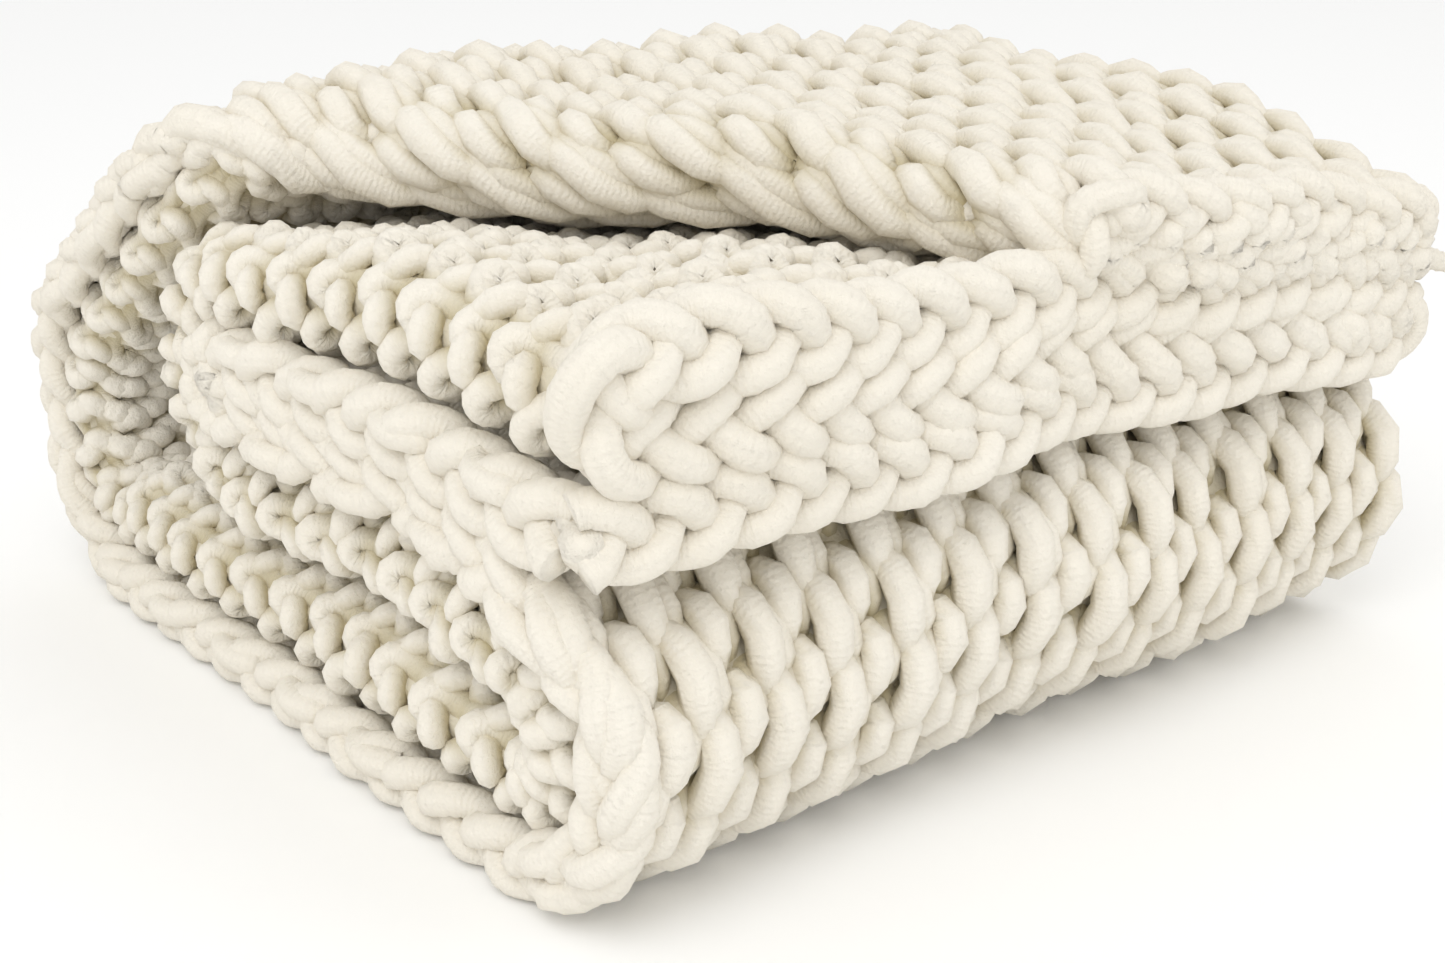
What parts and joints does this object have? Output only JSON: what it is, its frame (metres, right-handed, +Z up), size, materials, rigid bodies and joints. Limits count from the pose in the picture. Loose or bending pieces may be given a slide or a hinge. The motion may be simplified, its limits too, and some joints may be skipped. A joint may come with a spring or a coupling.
{
  "type": "folded throw blanket",
  "caption": "Chunky hand-knitted throw, folded in thirds and wrapped into a pile for a shelf or sofa, with a flap that opens back over its rear fold.",
  "frame": {"origin": "centre of the bounding box's lower face, on the surface that the throw rests on", "axes": "+X along the leaves, from the left end to the end with the yarn tail; +Y from the front bulge to the rear fold; +Z up"},
  "size_m": [0.4621, 0.4475, 0.2542],
  "materials": {
    "knit": "matt cream chenille, knitted in thick columns of loops",
    "folded_knit": "the same knit where it bends round a fold, a little shaded between its loops",
    "edge_braid": "the same yarn in the chain of loops along an edge"
  },
  "bodies": {
    "root": {"bottom_outer_leaf": "knit", "bottom_middle_leaf": "knit", "bottom_inner_leaf": "knit", "middle_outer_leaf": "knit", "middle_middle_leaf": "knit", "middle_inner_leaf": "knit", "top_outer_leaf": "knit", "top_middle_leaf": "knit", "top_inner_leaf": "knit", "front_fold_outer": "folded_knit", "front_fold_middle": "folded_knit", "front_fold_inner": "folded_knit", "back_fold_outer": "folded_knit", "back_fold_middle": "folded_knit", "back_fold_inner": "folded_knit", "back_wrap_outer": "knit", "back_wrap_middle": "knit", "back_wrap_inner": "knit", "cast_on_edge_outer": "edge_braid", "cast_on_edge_middle": "edge_braid", "cast_on_edge_inner": "edge_braid", "left_selvedge_bottom": "edge_braid", "left_bend_bottom": "folded_knit", "right_selvedge_bottom": "edge_braid", "right_bend_bottom": "folded_knit", "left_selvedge_middle": "edge_braid", "left_bend_middle": "folded_knit", "right_selvedge_middle": "edge_braid", "right_bend_middle": "folded_knit", "left_selvedge_back": "edge_braid", "left_bend_back": "folded_knit", "right_selvedge_back": "edge_braid", "right_bend_back": "folded_knit", "yarn_tail": "edge_braid"},
    "flap_rear": {"flap_rear_outer_leaf": "knit", "flap_rear_middle_leaf": "knit", "flap_rear_inner_leaf": "knit", "left_selvedge_flap_rear": "edge_braid", "left_bend_flap_rear": "folded_knit", "right_selvedge_flap_rear": "edge_braid", "right_bend_flap_rear": "folded_knit"},
    "flap_front": {"flap_front_outer_leaf": "knit", "flap_front_middle_leaf": "knit", "flap_front_inner_leaf": "knit", "left_selvedge_flap_front": "edge_braid", "left_bend_flap_front": "folded_knit", "right_selvedge_flap_front": "edge_braid", "right_bend_flap_front": "folded_knit", "bind_off_edge_outer": "edge_braid", "bind_off_edge_middle": "edge_braid", "bind_off_edge_inner": "edge_braid"}
  },
  "joints": [
    {"name": "flap_fold", "type": "hinge", "parent": "root", "child": "flap_rear", "pos_m": [-0.015, 0.076, 0.23485], "axis": [-1, 0, 0], "range_deg": [0, 150]},
    {"name": "flap_half_fold", "type": "hinge", "parent": "flap_rear", "child": "flap_front", "pos_m": [-0.015, -0.074, 0.2533], "axis": [-1, 0, 0], "range_deg": [0, 100]}
  ]
}
